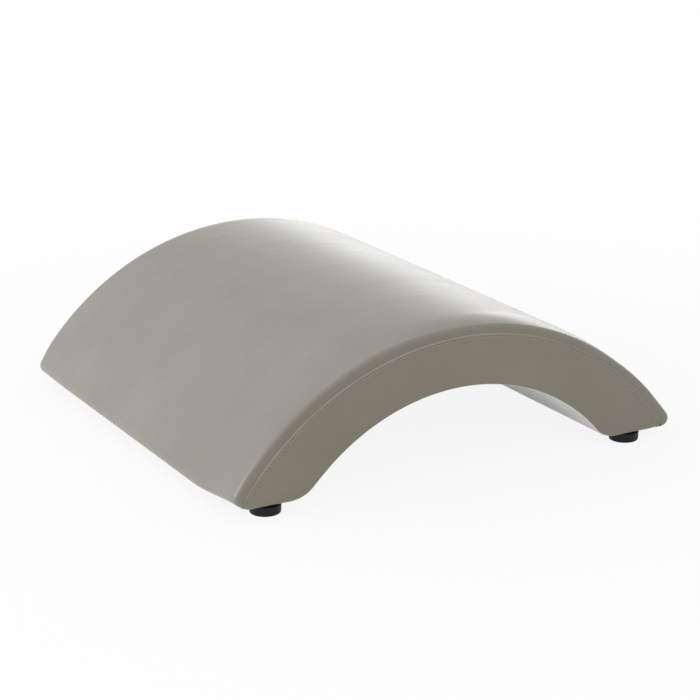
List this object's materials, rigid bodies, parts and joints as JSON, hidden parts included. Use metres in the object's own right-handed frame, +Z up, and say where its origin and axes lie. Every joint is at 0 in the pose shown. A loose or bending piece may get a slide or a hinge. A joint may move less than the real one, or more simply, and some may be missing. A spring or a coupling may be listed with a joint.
{
  "type": "pilates arc",
  "caption": "Low upholstered arch with an open tunnel beneath, to lie, sit or stretch over in floor exercise.",
  "frame": {"origin": "on the floor under the crown, at the middle of the four feet", "axes": "+X across the span of the arch, +Y along its width and the tunnel, +Z up"},
  "size_m": [0.6304, 0.615, 0.197],
  "materials": {
    "top_vinyl": "satin vinyl with a fine grain, warm grey taupe",
    "side_vinyl": "satin vinyl with a fine grain, warm grey taupe",
    "lining_vinyl": "thin matt vinyl, off-white",
    "foam": "open-cell upholstery foam, matt",
    "plywood": "unfinished plywood",
    "timber": "unfinished softwood",
    "base_cloth": "thin black non-woven cloth",
    "foot_rubber": "matt black rubber",
    "steel": "bright zinc plating",
    "screw_steel": "yellow zinc plating",
    "insert_metal": "turned brass-coloured zinc alloy"
  },
  "bodies": {
    "root": {"cover_top": "top_vinyl", "cover_end_front": "side_vinyl", "cover_end_rear": "side_vinyl", "cover_soffit": "lining_vinyl", "foam_top": "foam", "foam_end_front": "foam", "foam_end_rear": "foam", "deck": "plywood", "soffit_panel": "plywood", "rail_left": "timber", "rail_crown": "timber", "rail_right": "timber", "rib_front": "plywood", "rib_mid_front": "plywood", "rib_mid_rear": "plywood", "rib_rear": "plywood", "screw_front_left": "screw_steel", "screw_front_right": "screw_steel", "screw_mid_front_left": "screw_steel", "screw_mid_front_right": "screw_steel", "screw_mid_rear_left": "screw_steel", "screw_mid_rear_right": "screw_steel", "screw_rear_left": "screw_steel", "screw_rear_right": "screw_steel", "sill_left": "timber", "sill_right": "timber", "base_cloth_left": "base_cloth", "base_cloth_right": "base_cloth", "foot_front_left": "foot_rubber", "foot_front_right": "foot_rubber", "foot_rear_left": "foot_rubber", "foot_rear_right": "foot_rubber", "washer_front_left": "steel", "washer_front_right": "steel", "washer_rear_left": "steel", "washer_rear_right": "steel", "bolt_front_left": "steel", "bolt_front_right": "steel", "bolt_rear_left": "steel", "bolt_rear_right": "steel", "insert_front_left": "insert_metal", "insert_front_right": "insert_metal", "insert_rear_left": "insert_metal", "insert_rear_right": "insert_metal"}
  },
  "joints": []
}
